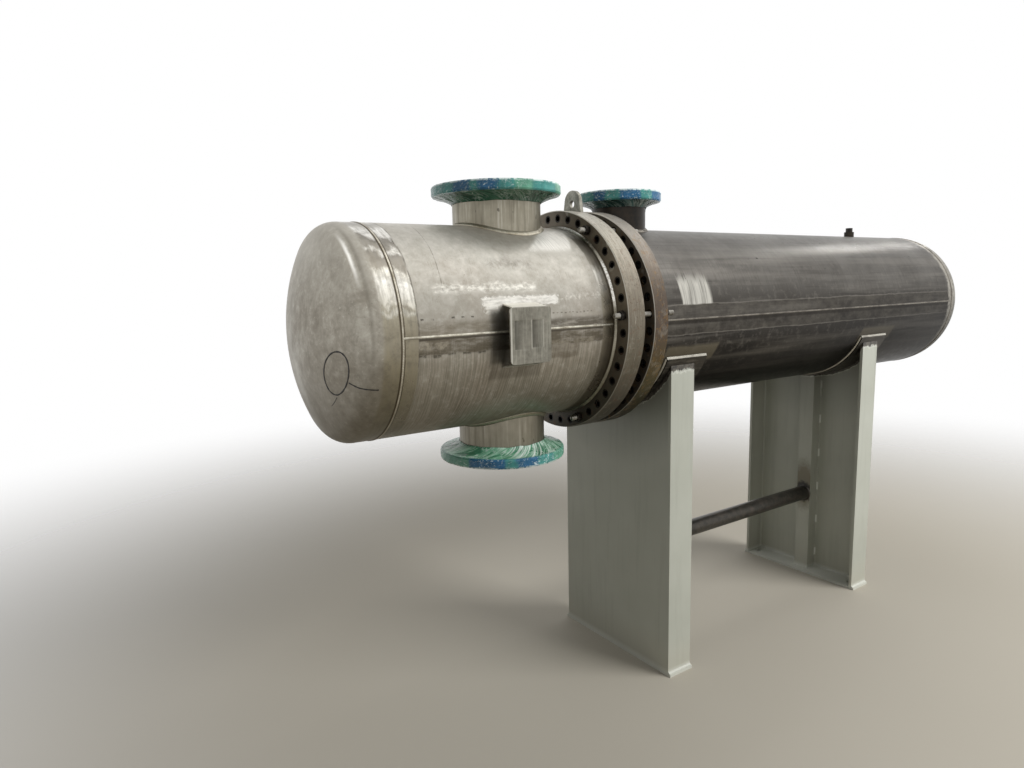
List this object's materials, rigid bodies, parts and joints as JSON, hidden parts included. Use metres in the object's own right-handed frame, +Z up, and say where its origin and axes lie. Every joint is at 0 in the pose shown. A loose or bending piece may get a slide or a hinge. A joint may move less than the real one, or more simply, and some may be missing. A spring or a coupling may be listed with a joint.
{
  "type": "shell and tube heat exchanger",
  "caption": "Horizontal shell and tube heat exchanger: stainless channel bolted to a steel shell, with covered nozzles, on two tall saddles joined by a brace pipe",
  "frame": {"origin": "middle of the floor plane under the object, at the centre of its bounding box in X and Y", "axes": "+X runs along the exchanger from the channel to the rear head, +Y points to the far side, +Z is up"},
  "size_m": [3.693, 0.85, 1.985],
  "materials": {
    "stainless_head": "dull satin",
    "stainless_barrel": "coarse brushed",
    "stainless_neck": "satin",
    "weld_metal": "bright bead",
    "flange_steel": "machined, oiled dark",
    "rusty_steel": "machined, light rust",
    "shell_plate": "ground grey",
    "dark_steel": "dark mill scale",
    "wear_steel": "heat marked",
    "grey_paint": "satin light grey-green",
    "green_film": "creased film, translucent look",
    "blue_film": "creased film, translucent look",
    "plate_metal": "satin"
  },
  "bodies": {
    "root": {"channel_head": "stainless_head", "channel_head_weld": "weld_metal", "channel_barrel": "stainless_barrel", "channel_seam_weld": "weld_metal", "channel_flange": "flange_steel", "channel_flange_weld": "weld_metal", "lifting_lug": "plate_metal", "top_nozzle_neck": "stainless_neck", "top_nozzle_weld": "weld_metal", "top_nozzle_flange": "stainless_neck", "top_nozzle_cover": "green_film", "bottom_nozzle_neck": "stainless_neck", "bottom_nozzle_weld": "weld_metal", "bottom_nozzle_flange": "stainless_neck", "bottom_nozzle_cover": "green_film", "nameplate_bracket": "plate_metal", "nameplate": "plate_metal", "tube_sheet": "dark_steel", "body_studs": "flange_steel", "body_nuts": "dark_steel", "shell_flange": "rusty_steel", "shell_flange_weld": "shell_plate", "shell_barrel": "shell_plate", "shell_seam_weld": "shell_plate", "shell_nozzle_neck": "flange_steel", "shell_nozzle_weld": "flange_steel", "shell_nozzle_flange": "flange_steel", "shell_nozzle_cover": "blue_film", "vent_coupling": "dark_steel", "vent_plug": "dark_steel", "rear_head_weld": "shell_plate", "rear_head": "shell_plate", "front_base": "grey_paint", "front_web": "grey_paint", "front_near_plate": "grey_paint", "front_far_plate": "grey_paint", "front_rib": "grey_paint", "front_wear_plate": "wear_steel", "rear_base": "grey_paint", "rear_web": "grey_paint", "rear_near_plate": "grey_paint", "rear_far_plate": "grey_paint", "rear_rib": "grey_paint", "rear_wear_plate": "wear_steel", "brace_pipe": "dark_steel"}
  },
  "joints": []
}
